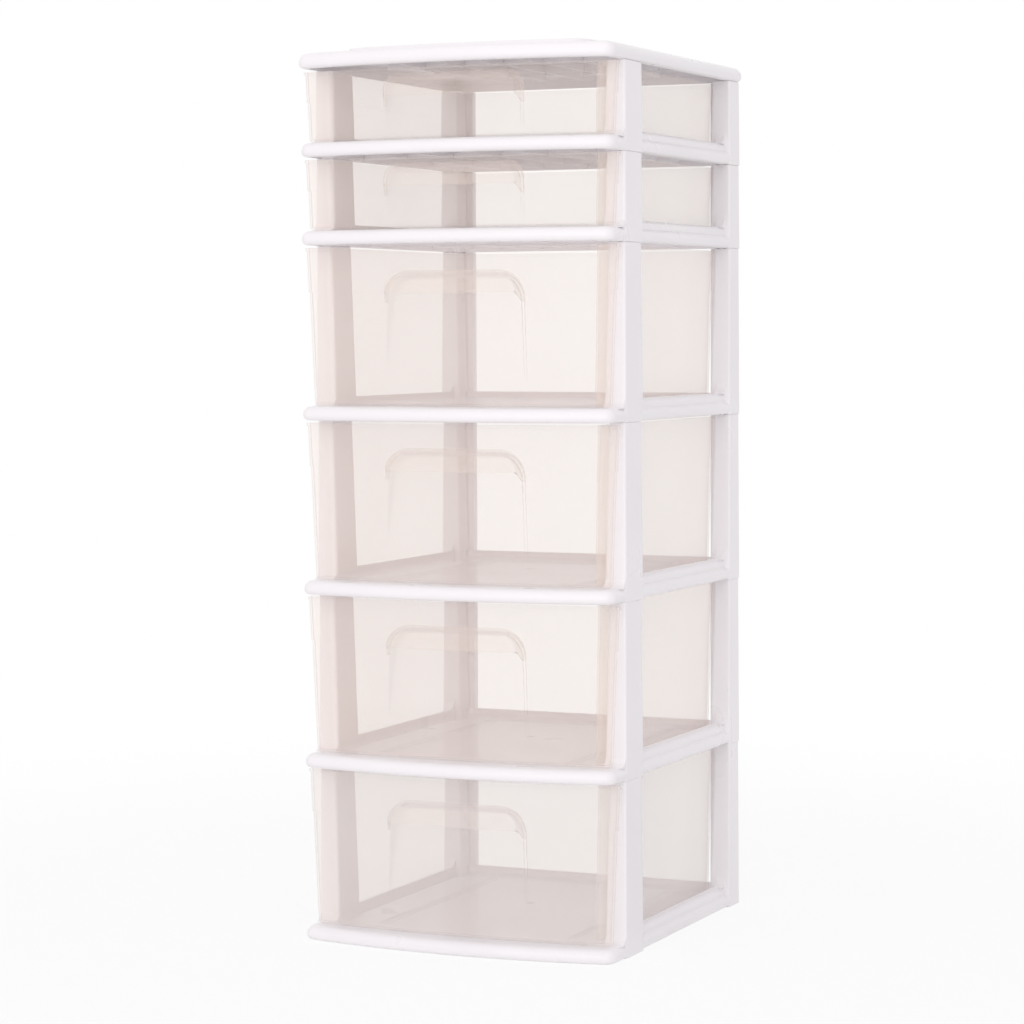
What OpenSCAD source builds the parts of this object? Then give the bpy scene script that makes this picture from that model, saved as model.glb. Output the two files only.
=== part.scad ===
// Plastic drawer tower: a stack of six moulded frames, each a shelf with four
// legs, under a lid, with a clear drawer in every tier. Two shallow tiers stand
// on four deep ones. X is the width, -Y is the front, Z is up. The origin is
// the middle of the outline, on the floor.

/* [Tower] */
// Width over the outer faces of the legs
leg_span_w = 310; // [295:1:330]
// Depth over the outer faces of the legs
leg_span_d = 300; // [280:1:330]
// Height of one shallow tier
shallow_h = 80.5; // [78:0.5:95]
// Height of one deep tier
deep_h = 161; // [150:0.5:180]

/* [Shelf lip] */
// How far the lip stands in front of the legs at its middle
lip_out = 50; // [48:0.5:56]
// Radius of the lip's bow, seen from above
lip_bow_r = 680; // [640:5:760]
// Radius of the lip's front corners, seen from above
lip_corner_r = 11; // [9:0.5:14]
// Height of the lip
lip_h = 13; // [12.5:0.1:13.5]
// Radius of the round along the lip's top edge
lip_top_r = 8; // [7:0.1:8]
// Radius of the round along the lip's bottom edge
lip_bottom_r = 5; // [4:0.1:5]

/* [Shelf] */
// Wall thickness of the white mouldings
skin = 2.4; // [2:0.1:2.8]
// Height of the shelf floor's top face
floor_z = 9.5; // [9:0.1:9.8]
// Height of the rail along each side and the back
rail_h = 20.5; // [19:0.5:23]
// Thickness of that rail
rail_t = 9; // [8.5:0.5:10]
// How far the rail's upper bulge stands in from its lower one
rail_in = 5; // [4:0.5:6]
// Thickness of the ribs under the shelf
rib_t = 1.8; // [1.4:0.1:2.2]
// Distance between the two runners that the drawer slides on
runner_gap = 190; // [170:1:200]

/* [Legs] */
// Width of a leg
leg_w = 21; // [20.5:0.5:22]
// Depth of a front leg at its foot
front_leg_d = 43.5; // [42:0.5:50]
// Depth of a rear leg at its foot
rear_leg_d = 29; // [28:0.5:36]
// How much a leg narrows towards its top, seen from the front
leg_taper_w = 4; // [3:0.5:4.5]
// How much a leg narrows towards its top, seen from the side
leg_taper_d = 3; // [2:0.5:4.5]
// How far a leg's outer faces step in at its top
leg_step = 0.7; // [0.4:0.1:0.8]
// How far the flange along a rear leg's back edge reaches inwards
flange_w = 6.5; // [5:0.5:8]
// Height of the peg on a leg's top
peg_h = 9; // [6:0.5:10]
// Clearance all round the peg in its socket
peg_gap = 0.3; // [0.2:0.05:0.4]

/* [Lid] */
// How far the lid stands in front of the legs at its middle
lid_out = 52; // [50:0.5:58]
// How far the lid stands out past the legs at the sides
lid_side = 1.5; // [1:0.5:3]
// How far the lid stands out past the legs at the back
lid_back = 3; // [1:0.5:4]
// Radius of the lid's rear corners, seen from above
lid_rear_r = 5; // [4:0.5:8]
// Height of the lid's edge
lid_h = 14; // [13.5:0.5:15]
// Height of the raised deck on the lid
deck_h = 5; // [3:0.5:6]
// Width of the lower border round the deck
deck_in = 36; // [25:1:45]

/* [Drawers] */
// Wall thickness of a drawer
wall = 1.8; // [1.6:0.1:2]
// Half width of a drawer's head at its rim
head_half_w = 155; // [154:0.5:156]
// Half width of a drawer's body at its rim
body_half_w = 133.5; // [130:0.5:133.5]
// How far the drawer front stands in front of the legs at its rim
front_out = 32.5; // [31:0.5:34]
// Radius of the drawer front's bow, seen from above
front_bow_r = 1100; // [1000:10:1300]
// Lean of the drawer's sides, in mm for each mm of height
draft = 0.043; // [0.03:0.001:0.05]
// Lean of the drawer's front, as a share of the draft
front_share = 0.35; // [0.2:0.05:0.6]
// Lean of the body behind the head, as a share of the draft
body_share = 0.45; // [0.3:0.05:0.6]
// Step in the walls where stacked drawers lock together
stack_step = 0.9; // [0.5:0.1:1]
// How far the turned rim stands out
rim_out = 1.2; // [1:0.1:1.4]
// Clearance over and under a drawer
drawer_gap = 2.4; // [2:0.2:4]

/* [Handle] */
// Half width of the finger scoop at the top
scoop_half_w = 65.5; // [55:0.5:70]
// How much wider each side of the scoop is at the bottom
scoop_flare = 7; // [4:1:10]
// Depth of a deep drawer's scoop behind the front
scoop_depth = 13; // [10:0.5:14]
// Height of the hood over the scoop
hood_h = 17; // [14:1:18]
// How far the hood stands out in front of the drawer
hood_out = 10.5; // [8:0.5:11]

/* [Hidden] */

// Tiers are counted from the top
tier_h = [shallow_h, shallow_h, deep_h, deep_h, deep_h, deep_h];
tiers = len(tier_h);
function tier_z(n) = n >= tiers ? 0 : tier_z(n + 1) + tier_h[n];
function is_deep(n) = tier_h[n - 1] == deep_h;

// Front and back faces of the legs, with the outline centred on the origin
outline_d = lid_out + leg_span_d + lid_back;
front_y = lid_out - outline_d / 2;
rear_y = front_y + leg_span_d;
leg_half = leg_span_w / 2;
leg_in_x = leg_half - leg_w;
eps = 0.01;
bow_fn = 200;
corner_fn = 64;

// ---- Outlines and lofts ----

// Points along an arc, from one angle to another
function arc(cx, cy, r, a0, a1, n) =
    [for (i = [0 : n]) let (a = a0 + (a1 - a0) * i / n) [cx + r * cos(a), cy + r * sin(a)]];

// The right half of an outline and its mirror image, as one closed loop
function mirrored(half) =
    concat(half, [for (i = [len(half) - 1 : -1 : 0])
        if (half[i][0] > eps) [-half[i][0], half[i][1]]]);

function lift(points, z) = [for (p = points) [p[0], p[1], z]];

// A closed solid through loops of equal length, each with its points lifted
module loft(loops) {
    n = len(loops[0]);
    last = len(loops) - 1;
    points = [for (l = loops) each l];
    sides = [for (i = [0 : last - 1], j = [0 : n - 1]) let (k = (j + 1) % n)
        each [[i * n + j, (i + 1) * n + j, (i + 1) * n + k], [i * n + j, (i + 1) * n + k, i * n + k]]];
    bottom = [for (j = [0 : n - 1]) j];
    top = [for (j = [n - 1 : -1 : 0]) last * n + j];
    polyhedron(points, concat(sides, [bottom, top]), convexity = 8);
}

// ---- The bow-fronted outline of a shelf and of the lid ----
// A plan is [half width, front of the bow, bow radius, corner radius].

function bow_centre(plan) = plan[1] + plan[2];
function corner_x(plan) = plan[0] - plan[3];
function corner_y(plan) = bow_centre(plan) - sqrt(pow(plan[2] - plan[3], 2) - pow(corner_x(plan), 2));
function bow_angle(plan) = asin(corner_x(plan) / (plan[2] - plan[3]));

// The bow and its right-hand corner, drawn in by s
function bow_points(plan, s) = let (a = bow_angle(plan)) concat(
    arc(0, bow_centre(plan), plan[2] - s, -90, a - 90, 7),
    [for (i = [1 : 4]) let (t = (a - 90) * (1 - i / 4))
        [corner_x(plan) + (plan[3] - s) * cos(t), corner_y(plan) + (plan[3] - s) * sin(t)]]);

// A lip's outline, cut off straight at the back
function lip_plan(plan, s, back) = mirrored(concat(bow_points(plan, s), [[plan[0] - s, back]]));

// A whole outline, with rounded corners at the back too
function lid_plan_points(plan, s, back, rear_r) = mirrored(concat(bow_points(plan, s),
    let (r = max(rear_r - s, 0.3)) arc(plan[0] - s - r, back - s - r, r, 0, 90, 4)));

// Heights and insets up the rounded edge of a lip: a small round, then a larger one
function edge_steps(h, top_r, bottom_r) = concat(
    [for (t = [-90 : 30 : 0]) [bottom_r + bottom_r * sin(t), bottom_r - bottom_r * cos(t)]],
    [for (t = [18 : 18 : 90]) [h - top_r + top_r * sin(t), top_r - top_r * cos(t)]]);

// ---- Frame: a shelf with its lip and rails, and four legs ----

shelf_plan = [leg_half + 0.5, front_y - lip_out, lip_bow_r, lip_corner_r];
side_x = leg_half - 0.25;
rail_inner_x = side_x - rail_in - rail_t;
shelf_back = rear_y - 0.25;
under_floor = floor_z - skin;

// The lip, hollow underneath
module front_lip() {
    back = front_y + skin;
    loft(concat([
        lift(lip_plan(shelf_plan, lip_top_r, front_y), lip_h - skin),
        lift(lip_plan(shelf_plan, skin + 0.6, front_y), lip_bottom_r + 2),
        lift(lip_plan(shelf_plan, lip_bottom_r + skin, front_y), 0)
    ], [for (e = edge_steps(lip_h, lip_top_r, lip_bottom_r))
        lift(lip_plan(shelf_plan, e[1], back), e[0])]));
}

// Section of a side or back rail, with x = 0 on its outer face and open
// underneath: the lip's round below, and a second round above, set back
module rail_section() {
    back = -rail_in - rail_t;
    shoulder = rail_h - rail_t + 2;
    r_top = lip_top_r;
    r_foot = lip_bottom_r;
    meet_out = acos((r_top - rail_in) / r_top);
    meet_in = acos((r_top - rail_in - skin) / (r_top - skin));
    polygon(concat(
        [[-r_foot - skin, 0]],
        arc(-r_foot, r_foot, r_foot, -90, 0, 4),
        arc(-r_top, r_foot, r_top, 8, meet_out, 4),
        arc(back + 2, shoulder, rail_t - 2, 0, 90, 6),
        [[back, rail_h], [back, 0], [back + skin, 0], [back + skin, rail_h - skin]],
        arc(back + 2, shoulder, rail_t - 2 - skin, 78, 0, 4),
        arc(-r_top, r_foot, r_top - skin, meet_in, 8, 4),
        arc(-r_foot, r_foot, r_foot - skin, 0, -90, 3),
        [[-r_foot - skin, skin]]
    ));
}

// A straight run of a section along Y, with its outer face at x
module side_run(x, y0, y1) {
    translate([x, y1, 0]) rotate([90, 0, 0]) linear_extrude(height = y1 - y0) children();
}

module shelf() {
    floor_half = rail_inner_x + 1;
    floor_back = shelf_back - rail_in - rail_t + 1;
    front_lip();
    for (side = [0, 1]) mirror([side, 0, 0])
        side_run(side_x, front_y + front_leg_d - 5, rear_y - rear_leg_d + 5) rail_section();
    translate([-leg_in_x - 3, shelf_back, 0]) rotate([90, 0, 90])
        linear_extrude(height = 2 * leg_in_x + 6) rail_section();
    // The floor, a step below the lip
    translate([-floor_half, front_y + 0.5, under_floor])
        cube([2 * floor_half, floor_back - front_y - 0.5, skin]);
    shelf_ribs(floor_half, floor_back);
    // Runners under the drawer
    for (x = [-runner_gap / 2, runner_gap / 2])
        translate([x - 1.5, front_y + 1, under_floor + 1])
            cube([3, leg_span_d - 30, lip_h + 0.2 - under_floor - 1]);
}

// Ribs under the floor, clear of the drawer below
module shelf_ribs(floor_half, floor_back) {
    rib_z = 2;
    rib_h = under_floor - rib_z + 1;
    for (x = [-96, -48, 0, 48, 96])
        translate([x - rib_t / 2, front_y + 0.5, rib_z])
            cube([rib_t, floor_back - front_y - 0.5, rib_h]);
    for (y = [front_y + 75, rear_y - 75])
        translate([-floor_half, y - rib_t / 2, rib_z]) cube([2 * floor_half, rib_t, rib_h]);
}

// Outline of a leg between two corners, with rounded edges
function leg_loop(x0, x1, y0, y1, r, z) = lift(concat(
    arc(x1 - r, y0 + r, r, -90, 0, 3), arc(x1 - r, y1 - r, r, 0, 90, 3),
    arc(x0 + r, y1 - r, r, 90, 180, 3), arc(x0 + r, y0 + r, r, 180, 270, 3)), z);

// One right-hand leg: its inner edges lean, less on a shallow frame, and its
// outer faces step in a little
module leg(h, front) {
    taper_w = leg_taper_w * h / deep_h;
    taper_d = leg_taper_d * h / deep_h;
    d = front ? front_leg_d : rear_leg_d;
    y0 = front ? front_y : rear_y - d;
    top_y0 = front ? y0 + leg_step : y0 + taper_d;
    top_y1 = front ? y0 + d - taper_d : y0 + d - leg_step;
    loft([
        leg_loop(leg_in_x, leg_half, y0, y0 + d, 2.5, 0),
        leg_loop(leg_in_x + taper_w, leg_half - leg_step, top_y0, top_y1, 2.5, h)
    ]);
}

// The flange along the back of a right-hand rear leg
module leg_flange(h) {
    translate([leg_in_x - flange_w, rear_y - 9, 0]) cube([flange_w + 8, 8.2, h - 0.5]);
}

// Front and back of the hollow inside a leg, clear of its leaning edges
function hollow_y0(front) = front ? front_y + leg_step + skin : rear_y - rear_leg_d + leg_taper_d + skin;
function hollow_d(front) = (front ? front_leg_d : rear_leg_d) - leg_taper_d - leg_step - 2 * skin;
hollow_x0 = leg_in_x + leg_taper_w + skin;
hollow_w = leg_w - leg_taper_w - leg_step - 2 * skin;

// A peg fits the hollow's inner corner, and stays clear of the lid's rounded edge
peg_w = hollow_w - 2 * peg_gap - 3;
function peg_d(front) = hollow_d(front) - 2 * peg_gap - 3;

// The hollow inside a leg, open at the foot, which is the socket for the peg below
module leg_hollow(h, front) {
    translate([hollow_x0, hollow_y0(front), -1]) cube([hollow_w, hollow_d(front), h + 1]);
}

// The peg on a leg's top, with bevelled ends
module leg_peg(front) {
    d = peg_d(front);
    bevel = 2;
    translate([hollow_x0 + peg_gap, hollow_y0(front) + peg_gap, 0]) rotate([90, 0, 90])
        linear_extrude(height = peg_w)
            polygon([
                [0, -eps], [d, -eps], [d, peg_h - bevel],
                [d - bevel, peg_h], [bevel, peg_h], [0, peg_h - bevel]
            ]);
}

// Concave blend along X, with its corner at (y, z) and facing towards -Y
module blend(x0, x1, y, z, r) {
    translate([x0, y, z]) rotate([90, 0, 90]) linear_extrude(height = x1 - x0) difference() {
        translate([-r, -0.5]) square([r + 1, r + 0.5]);
        translate([-r, r]) circle(r = r, $fn = corner_fn);
    }
}

module frame(n) {
    h = tier_h[n - 1];
    color([0.97, 0.97, 0.98]) translate([0, 0, tier_z(n)]) {
        difference() {
            union() {
                shelf();
                for (side = [0, 1]) mirror([side, 0, 0]) {
                    leg(h, true);
                    leg(h, false);
                    leg_flange(h);
                    // The foot of a front leg swells out over the lip
                    blend(leg_in_x + 1, side_x - 0.5, front_y + 0.2, lip_h, 8);
                    // The rail sweeps up into the rear leg
                    blend(rail_inner_x + 0.5, side_x - rail_in - 0.5,
                        rear_y - rear_leg_d + 0.4, rail_h - 0.4, 11);
                }
            }
            for (side = [0, 1]) mirror([side, 0, 0]) {
                leg_hollow(h - skin, true);
                leg_hollow(h - skin, false);
            }
        }
        for (side = [0, 1]) mirror([side, 0, 0]) translate([0, 0, h]) {
            leg_peg(true);
            leg_peg(false);
        }
    }
}

// ---- Lid ----

lid_plan = [leg_half + lid_side, front_y - lid_out, lip_bow_r, lip_corner_r];
deck_plan = [lid_plan[0] - deck_in, lid_plan[1] + 34, lip_bow_r, 18];
lid_top_r = 9;
lid_end = rear_y + lid_back;
deck_end = lid_end - deck_in + 6;

function lid_loop(s, z) = lift(lid_plan_points(lid_plan, s, lid_end, lid_rear_r), z);
function deck_loop(s, z) = lift(lid_plan_points(deck_plan, s, deck_end, 18), z);

// A shallow moulding, open underneath, with a raised deck
module top_lid() {
    color([0.97, 0.97, 0.98]) translate([0, 0, tier_z(1) + tier_h[0]]) difference() {
        union() {
            lid_shell();
            lid_sockets(skin);
            lid_ribs();
        }
        lid_sockets(0);
    }
}

module lid_shell() {
    deck_z = lid_h + deck_h;
    loft(concat([
        deck_loop(skin, deck_z - skin), deck_loop(skin, lid_h - skin),
        lid_loop(lid_top_r, lid_h - skin), lid_loop(skin + 0.6, lip_bottom_r + 2),
        lid_loop(lip_bottom_r + skin, 0)
    ], [for (e = edge_steps(lid_h, lid_top_r, lip_bottom_r)) lid_loop(e[1], e[0])], [
        deck_loop(-2, lid_h), deck_loop(0, deck_z - 1.5), deck_loop(1.5, deck_z)
    ]));
}

// The four sockets for the pegs of the top frame: their outsides for a wall of
// that thickness, and their spaces for none
module lid_sockets(wall_t) {
    for (side = [0, 1], front = [true, false]) mirror([side, 0, 0])
        translate([hollow_x0 - wall_t, hollow_y0(front) - wall_t, wall_t > 0 ? 0 : -1])
            cube([peg_w + 2 * peg_gap + 2 * wall_t, peg_d(front) + 2 * peg_gap + 2 * wall_t,
                wall_t > 0 ? lid_h - 1 : lid_h - skin + 1]);
}

module lid_ribs() {
    rib_z = 6;
    half = deck_plan[0] - skin + 1;
    front = deck_plan[1] + 10;
    for (x = [-80, -40, 0, 40, 80])
        translate([x - rib_t / 2, front, rib_z])
            cube([rib_t, deck_end - front - skin + 1, lid_h + deck_h - skin + 1 - rib_z]);
    for (y = [front + 90, deck_end - 90])
        translate([-half, y - rib_t / 2, rib_z])
            cube([2 * half, rib_t, lid_h + deck_h - skin + 1 - rib_z]);
}

// ---- Drawer: a drafted T-shaped tray with a finger scoop under a hood ----

drawer_z0 = lip_h + 0.5;
bow_y = front_y - front_out + front_bow_r;

function rim_z(n) = tier_h[n - 1] - drawer_gap;
function step_z(n) = is_deep(n) ? tier_h[n - 1] - 43 : tier_h[n - 1] - 30.5;

// How far the walls have leaned in at height z
function lean(n, z) = draft * (rim_z(n) - z) + (z < step_z(n) ? stack_step : 0);

// Outline of a drawer that has leaned in by g, drawn in by s
function tray(g, s) = let (
        hw = head_half_w - g,
        r = front_bow_r - front_share * g,
        rc = 6,
        cx = hw - rc,
        cy = bow_y - sqrt(pow(r - rc, 2) - pow(cx, 2)),
        a = asin(cx / (r - rc)),
        step_y = cy + 4,
        bw = body_half_w - body_share * g,
        back = rear_y - 13.5 - body_share * g)
    mirrored(concat(
        arc(0, bow_y, r - s, -90, a - 90, 7),
        [for (i = [1 : 3]) let (t = (a - 90) * (1 - i / 3))
            [cx + (rc - s) * cos(t), cy + (rc - s) * sin(t)]],
        arc(hw - 3, step_y - 3, 3 - s, 0, 90, 2),
        arc(bw + 4, step_y + 4, 4 + s, 270, 180, 3),
        arc(bw - 6, back - 6, 6 - s, 0, 90, 4)));

function tray_loop(n, z, s) = lift(tray(lean(n, z), s), z);

module tray_shell(n) {
    top = rim_z(n);
    zs = step_z(n);
    loft([
        tray_loop(n, drawer_z0, 2.5), tray_loop(n, drawer_z0 + 1, 0.9), tray_loop(n, drawer_z0 + 3.5, 0),
        tray_loop(n, zs - 0.5, 0), tray_loop(n, zs + 0.5, 0),
        tray_loop(n, top - 3.2, 0), tray_loop(n, top - 2.6, -rim_out), tray_loop(n, top, -rim_out),
        tray_loop(n, top + eps, wall), tray_loop(n, zs + 0.5, wall), tray_loop(n, zs - 0.5, wall),
        tray_loop(n, drawer_z0 + 4, wall), tray_loop(n, drawer_z0 + 2, 2.9)
    ]);
}

// Front of a drawer at height z, as a radius about the axis of the bow
function front_r(n, z) = front_bow_r - front_share * lean(n, z);

// The scoop's outline seen from the front: an upturned U with leaning sides
module scoop_outline(n, grow) {
    r = is_deep(n) ? 24 : 14;
    z0 = scoop_z0(n) - grow;
    z1 = scoop_z1(n) + grow;
    w1 = scoop_half_w + grow;
    w0 = w1 + scoop_flare * (z1 - z0) / deep_h;
    polygon(concat([[-w0, z0], [w0, z0]],
        arc(w1 - r, z1 - r, r, 0, 90, 5), arc(r - w1, z1 - r, r, 90, 180, 5)));
}

function scoop_z0(n) = is_deep(n) ? 33 : 20;
function scoop_z1(n) = tier_h[n - 1] - (is_deep(n) ? 28 : 11.5);
function scoop_in(n) = is_deep(n) ? scoop_depth : 0.8 * scoop_depth;

module between_sides(n, grow) {
    intersection() {
        translate([0, front_y + 10, 0]) rotate([90, 0, 0])
            linear_extrude(height = 100) scoop_outline(n, grow);
        translate([0, bow_y, 0]) rotate([0, 0, -95])
            rotate_extrude(angle = 10, $fn = bow_fn) children();
    }
}

// The scoop's wall, behind the drawer's front
module scoop_wall(n) {
    z0 = scoop_z0(n);
    z1 = scoop_z1(n);
    back = front_r(n, z1) - scoop_in(n) - wall;
    between_sides(n, wall) polygon([
        [front_r(n, z0) - 0.6, z0], [back, z1 - 8], [back, z1 - 4],
        [back + 6, z1 + wall], [front_r(n, z1) - 0.9, z1 + wall]
    ]);
}

// The hood, which stands out over the top of the scoop
module hood(n) {
    z1 = scoop_z1(n);
    face = front_r(n, z1) + hood_out;
    between_sides(n, wall) polygon([
        [front_r(n, z1) - 0.9, z1 + wall], [face - 2, z1 + wall], [face - 0.5, z1 + wall - 0.5],
        [face, z1 + wall - 2], [face, z1 - hood_h], [front_r(n, z1) - 0.9, z1 - hood_h - 8]
    ]);
}

// The space in the scoop and up inside its hood
module scoop_space(n) {
    z0 = scoop_z0(n);
    z1 = scoop_z1(n);
    back = front_r(n, z1) - scoop_in(n);
    hood_back = front_r(n, z1) + hood_out - wall;
    clear_r = front_bow_r + 20;
    between_sides(n, 0) polygon([
        [front_r(n, z0) + 0.3, z0 + 2], [clear_r, z0 + 2], [clear_r, z1 - hood_h],
        [hood_back, z1 - hood_h], [hood_back, z1], [back + 5, z1], [back, z1 - 8]
    ]);
}

module drawer(n) {
    color([0.96, 0.94, 0.92, 0.45]) translate([0, 0, tier_z(n)]) {
        difference() {
            union() {
                tray_shell(n);
                scoop_wall(n);
                hood(n);
            }
            scoop_space(n);
        }
        // The moulding gate in the middle of the floor
        translate([0, (front_y + rear_y) / 2 - 10, drawer_z0 + 2 - eps])
            cylinder(r = 4, h = 0.5, $fn = 16);
    }
}

top_lid();
frame(1);  // frame_1
frame(2);  // frame_2
frame(3);  // frame_3
frame(4);  // frame_4
frame(5);  // frame_5
frame(6);  // frame_6
drawer(1);  // drawer_1
drawer(2);  // drawer_2
drawer(3);  // drawer_3
drawer(4);  // drawer_4
drawer(5);  // drawer_5
drawer(6);  // drawer_6
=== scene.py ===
import math
import bmesh
import bpy
import numpy as np
from mathutils import Matrix


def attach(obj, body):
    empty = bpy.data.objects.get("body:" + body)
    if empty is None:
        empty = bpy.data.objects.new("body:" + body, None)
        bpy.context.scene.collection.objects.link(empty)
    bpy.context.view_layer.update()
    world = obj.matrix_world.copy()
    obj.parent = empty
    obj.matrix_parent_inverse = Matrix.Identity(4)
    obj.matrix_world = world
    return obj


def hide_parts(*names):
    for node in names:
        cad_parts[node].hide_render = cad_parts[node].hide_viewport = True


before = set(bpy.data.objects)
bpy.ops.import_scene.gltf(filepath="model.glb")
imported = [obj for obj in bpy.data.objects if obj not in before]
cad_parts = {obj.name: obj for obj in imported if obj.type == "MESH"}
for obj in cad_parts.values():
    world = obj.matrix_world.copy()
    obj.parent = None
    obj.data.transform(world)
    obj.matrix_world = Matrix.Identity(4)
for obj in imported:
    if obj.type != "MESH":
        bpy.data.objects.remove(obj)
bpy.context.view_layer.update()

scene = bpy.context.scene
scene.view_settings.view_transform = "Standard"
scene.cycles.transparent_max_bounces = 32  # light inside the tower passes many clear walls
scene.cycles.diffuse_bounces = 6           # and is sent on between the white ones

# Sizes are in millimetres here, and go into the meshes in metres. Tiers are counted from the top.
tower = {"legHalf": 155.0, "front": -125.5, "rear": 174.5}
shallow, deep = 80.5, 161.0
tierHeight = {1: shallow, 2: shallow, 3: deep, 4: deep, 5: deep, 6: deep}
tierBase = {n: sum(h for m, h in tierHeight.items() if m > n) for n in tierHeight}
meshing = {
    "weldWithin": 2e-6,  # metres
    "sharpFrom": 32.0,   # degrees between faces, from which their edge is drawn sharp
}


# Rows and columns of points become quads between neighbours; a closed direction joins its last line
# to its first, and a capped one gets a single flat face over its first and its last line
def gridPart(points, closeRows=False, closeCols=False, capRows=False, capCols=False):
    rows, cols = points.shape[:2]
    number = np.arange(rows * cols).reshape(rows, cols)
    net = np.vstack([number, number[:1]]) if closeRows else number
    net = np.hstack([net, net[:, :1]]) if closeCols else net
    faces = np.stack([net[:-1, :-1], net[:-1, 1:], net[1:, 1:], net[1:, :-1]], -1).reshape(-1, 4).tolist()
    if capRows:
        faces += [number[0, ::-1].tolist(), number[-1].tolist()]
    if capCols:
        faces += [number[:, 0].tolist(), number[::-1, -1].tolist()]
    return points.reshape(-1, 3), faces


# x, y and z arrays of any matching shapes become one array of points
def pointsOf(x, y, z):
    return np.stack(np.broadcast_arrays(x, y, z), -1).astype(float)


# The same part on the other side of x = 0
def mirrorPart(part):
    points, faces = part
    return points * [-1, 1, 1], [face[::-1] for face in faces]


# The parts and their mirror images
def bothSides(parts):
    return parts + [mirrorPart(p) for p in parts]


# A quarter circle for rounding an edge: 1 less the cosine is the share across, the sine the share up
def quarterRound(steps):
    a = np.linspace(0, math.pi / 2, steps)
    return 1 - np.cos(a), np.sin(a)


# Rectangle with rounded corners, one ring of points for each row: a corner is a quarter circle of radius r
def ringRows(x0, x1, y0, y1, r, z, steps=6):
    x0, x1, y0, y1, r, z = [np.atleast_1d(np.asarray(v, float))[:, None] for v in (x0, x1, y0, y1, r, z)]
    a = np.linspace(0, math.pi / 2, steps)
    c, s = np.cos(a), np.sin(a)
    x = np.hstack(np.broadcast_arrays(x1 - r + r * s, x1 - r + r * c, x0 + r - r * s, x0 + r - r * c))
    y = np.hstack(np.broadcast_arrays(y0 + r - r * c, y1 - r + r * s, y1 - r + r * c, y0 + r - r * s))
    return pointsOf(x, y, z + 0 * x)


# Box with rounded upright edges of radius r and edges of radius e at top and bottom
def slabPart(x0, x1, y0, y1, z0, z1, r=1.0, e=0.4):
    inset, up = quarterRound(4)
    s = np.concatenate([e * inset[::-1], e * inset])
    z = np.concatenate([z0 + e - e * up[::-1], z1 - e + e * up])
    return gridPart(ringRows(x0 + s, x1 - s, y0 + s, y1 - s, r, z, 4), closeCols=True, capRows=True)


# A closed profile of (along, up) pairs drawn straight from one place to another, along x or along y
def runPart(profile, start, end, axis):
    along, up = np.asarray(profile, float).T
    place = np.linspace(start, end, 3)[:, None]
    points = pointsOf(place, along, up) if axis == "x" else pointsOf(along, place, up)
    return gridPart(points, closeCols=True, capRows=True)


# Points on an arc about (cx, cz), from one angle to another in degrees: r times the cosine and the sine
def arcPoints(cx, cz, r, a0, a1, steps):
    a = np.radians(np.linspace(a0, a1, steps))
    return np.stack([cx + r * np.cos(a), cz + r * np.sin(a)], -1)


# Every part is merged and turned to face outwards by itself, then all go into one object
def makePiece(name, parts, body, material, node):
    whole = bmesh.new()
    for points, faces in parts:
        mesh = bpy.data.meshes.new("part")
        mesh.from_pydata(points / 1000, [], faces)
        solid = bmesh.new()
        solid.from_mesh(mesh)
        bmesh.ops.remove_doubles(solid, verts=solid.verts, dist=meshing["weldWithin"])
        bmesh.ops.recalc_face_normals(solid, faces=solid.faces)
        solid.to_mesh(mesh)
        solid.free()
        whole.from_mesh(mesh)
        bpy.data.meshes.remove(mesh)
    mesh = bpy.data.meshes.new(name)
    whole.to_mesh(mesh)
    whole.free()
    mesh.polygons.foreach_set("use_smooth", np.ones(len(mesh.polygons), bool))
    mesh.set_sharp_from_angle(angle=math.radians(meshing["sharpFrom"]))
    mesh.materials.append(material)
    piece = bpy.data.objects.new(name, mesh)
    scene.collection.objects.link(piece)
    flat = piece.modifiers.new("Flat faces stay flat", "WEIGHTED_NORMAL")
    flat.keep_sharp = True
    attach(piece, body)
    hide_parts(node)


# A node of the kind asked for, with its options set and its sockets joined or given their values
def addNode(tree, kind, sockets=(), **options):
    node = tree.nodes.new(kind)
    for option, value in options.items():
        setattr(node, option, value)
    for socket, value in dict(sockets).items():
        if isinstance(value, bpy.types.NodeSocket):
            tree.links.new(value, node.inputs[socket])
        else:
            node.inputs[socket].default_value = value
    return node


moulding = {
    "slowDetail": 3.0, "noiseSpan": (0.32, 0.68),  # noise stays near its middle: this is made 0 to 1
    "fineScale": 260.0, "fineDetail": 2.0, "fineShare": 0.06,
}


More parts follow.
